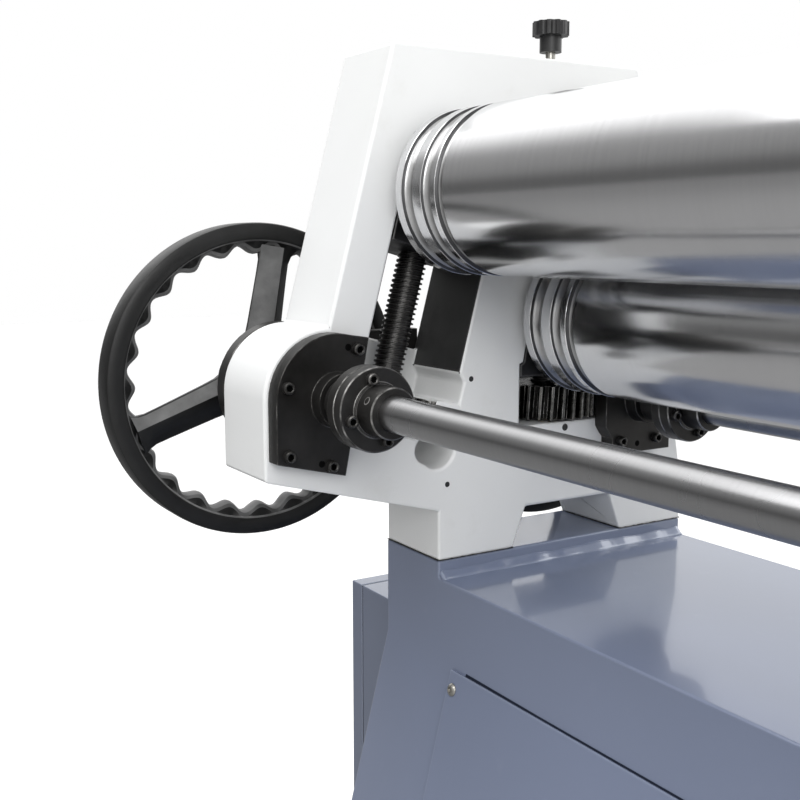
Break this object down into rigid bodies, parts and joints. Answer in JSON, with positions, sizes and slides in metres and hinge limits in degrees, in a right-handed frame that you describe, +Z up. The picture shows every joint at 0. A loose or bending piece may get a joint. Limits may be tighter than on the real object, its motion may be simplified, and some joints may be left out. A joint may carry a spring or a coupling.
{
  "type": "slip roll machine",
  "caption": "Floor-standing slip roll machine: plate rolls between cast side frames, worm-geared handwheels for the bending and feed rolls, sheet steel base and a gear motor.",
  "frame": {"origin": "centre of the floor bolt pattern, at floor level", "axes": "+X along the rolls from the handwheel end to the drive end, +Y from the bending side to the feed side, +Z up"},
  "size_m": [2.039, 0.6801, 1.185],
  "materials": {
    "white_paint": "satin",
    "blue_paint": "gloss",
    "black_steel": "satin",
    "black_oxide": "satin black oxide",
    "ground_steel": "ground",
    "zinc_steel": "zinc plated",
    "dark_iron": "machined",
    "gear_steel": "oiled, machined",
    "bronze": "machined",
    "black_plastic": "matte",
    "black_gloss_paint": "gloss"
  },
  "bodies": {
    "base": {"base_cabinet": "blue_paint", "floor_plates": "blue_paint", "bending_side_cover": "blue_paint", "feed_side_cover": "blue_paint", "side_cover_screws": "zinc_steel", "electrical_box": "blue_paint", "box_mounting_plate": "zinc_steel", "box_hinges": "zinc_steel", "left_frame": "white_paint", "right_frame": "white_paint", "frame_bolts": "black_oxide", "bending_worm_plates": "black_oxide", "feed_worm_plates": "black_oxide", "outer_worm_plates": "black_oxide", "worm_plate_screws": "black_oxide", "thrust_washers": "bronze", "upper_bushes": "bronze", "drive_bracket": "blue_paint", "gear_cover": "white_paint", "gear_cover_screws": "zinc_steel", "gearbox": "blue_paint", "motor": "blue_paint", "motor_fan_cover": "black_plastic"},
    "upper_roll": {"upper_roll": "ground_steel", "upper_roll_gear": "gear_steel", "drive_gear": "gear_steel"},
    "lower_slide": {"lower_block_left": "dark_iron", "lower_block_right": "dark_iron", "lower_bushes": "bronze", "lower_spindles": "black_oxide"},
    "lower_roll": {"lower_roll": "ground_steel", "lower_roll_gear": "gear_steel"},
    "bending_slide": {"bending_block_left": "dark_iron", "bending_block_right": "dark_iron", "bending_bushes": "bronze", "bending_spindles": "black_oxide"},
    "bending_roll": {"bending_roll": "ground_steel"},
    "bending_drive": {"bending_handwheel": "black_gloss_paint", "bending_worm_left": "black_oxide", "bending_worm_right": "black_oxide", "bending_cross_shaft": "ground_steel", "bending_couplings": "black_oxide", "bending_coupling_screws": "black_oxide"},
    "feed_drive": {"feed_handwheel": "black_gloss_paint", "feed_worm_left": "black_oxide", "feed_worm_right": "black_oxide", "feed_cross_shaft": "ground_steel", "feed_couplings": "black_oxide", "feed_coupling_screws": "black_oxide"},
    "bending_wheel_left": {"bending_wheel_left": "gear_steel"},
    "bending_wheel_right": {"bending_wheel_right": "gear_steel"},
    "lower_wheel_left": {"lower_wheel_left": "gear_steel"},
    "lower_wheel_right": {"lower_wheel_right": "gear_steel"},
    "drive_pinion": {"drive_pinion": "gear_steel"},
    "box_door": {"box_door": "blue_paint"},
    "switch_knob": {"switch_knob": "black_plastic"},
    "lock_knob": {"lock_stud": "zinc_steel", "lock_knob": "black_plastic"}
  },
  "joints": [
    {"name": "upper_roll_turn", "type": "hinge", "parent": "base", "child": "upper_roll", "pos_m": [0, 0.001, 1.068], "axis": [1, 0, 0], "continuous": true},
    {"name": "bending_handwheel_turn", "type": "hinge", "parent": "base", "child": "bending_drive", "pos_m": [0, -0.2281, 0.89679], "axis": [1, 0, 0], "range_deg": [-116640, 3888]},
    {"name": "feed_handwheel_turn", "type": "hinge", "parent": "base", "child": "feed_drive", "pos_m": [0, 0.0675, 0.876], "axis": [1, 0, 0], "range_deg": [0, 15552]},
    {"name": "box_door_swing", "type": "hinge", "parent": "base", "child": "box_door", "pos_m": [-0.846, 0.106, 0.488], "axis": [0, 0, -1], "range_deg": [0, 110]},
    {"name": "switch_turn", "type": "hinge", "parent": "box_door", "child": "switch_knob", "pos_m": [-0.86, -0.054, 0.444], "axis": [1, 0, 0], "range_deg": [0, 90]},
    {"name": "lock_knob_turn", "type": "hinge", "parent": "base", "child": "lock_knob", "pos_m": [-0.694, 0.001, 1.16], "axis": [0, 0, 1], "range_deg": [-1080, 0]},
    {"name": "bending_slide_move", "type": "slide", "parent": "base", "child": "bending_slide", "axis": [0, 0.2588, 0.9659], "range_m": [-0.06, 0.002]},
    {"name": "bending_roll_turn", "type": "hinge", "parent": "bending_slide", "child": "bending_roll", "pos_m": [0, -0.11994, 1.04351], "axis": [1, 0, 0], "continuous": true},
    {"name": "lower_slide_move", "type": "slide", "parent": "base", "child": "lower_slide", "axis": [0, 0, 1], "range_m": [-0.008, 0]},
    {"name": "lower_roll_turn", "type": "hinge", "parent": "lower_slide", "child": "lower_roll", "pos_m": [0, 0.001, 0.947], "axis": [1, 0, 0], "continuous": true},
    {"name": "bending_wheel_left_turn", "type": "hinge", "parent": "base", "child": "bending_wheel_left", "pos_m": [-0.694, -0.16387, 0.87958], "axis": [0, 0.2588, 0.9659], "range_deg": [-144, 4320]},
    {"name": "bending_wheel_right_turn", "type": "hinge", "parent": "base", "child": "bending_wheel_right", "pos_m": [0.694, -0.16387, 0.87958], "axis": [0, 0.2588, 0.9659], "range_deg": [-144, 4320]},
    {"name": "lower_wheel_left_turn", "type": "hinge", "parent": "base", "child": "lower_wheel_left", "pos_m": [-0.694, 0.001, 0.876], "axis": [0, 0, 1], "range_deg": [0, 576]},
    {"name": "lower_wheel_right_turn", "type": "hinge", "parent": "base", "child": "lower_wheel_right", "pos_m": [0.694, 0.001, 0.876], "axis": [0, 0, 1], "range_deg": [0, 576]},
    {"name": "drive_pinion_turn", "type": "hinge", "parent": "base", "child": "drive_pinion", "pos_m": [0.795, 0.001, 0.933], "axis": [1, 0, 0], "continuous": true}
  ],
  "couplings": [
    {"joint": "lower_roll_turn", "follows": "upper_roll_turn", "ratio": -1},
    {"joint": "drive_pinion_turn", "follows": "upper_roll_turn", "ratio": -2},
    {"joint": "bending_wheel_left_turn", "follows": "bending_handwheel_turn", "ratio": -0.037037},
    {"joint": "bending_wheel_right_turn", "follows": "bending_handwheel_turn", "ratio": -0.037037},
    {"joint": "bending_slide_move", "follows": "bending_handwheel_turn", "m_per_rad": 0.000029473},
    {"joint": "lower_wheel_left_turn", "follows": "feed_handwheel_turn", "ratio": 0.037037},
    {"joint": "lower_wheel_right_turn", "follows": "feed_handwheel_turn", "ratio": 0.037037},
    {"joint": "lower_slide_move", "follows": "feed_handwheel_turn", "m_per_rad": -0.000029473}
  ]
}
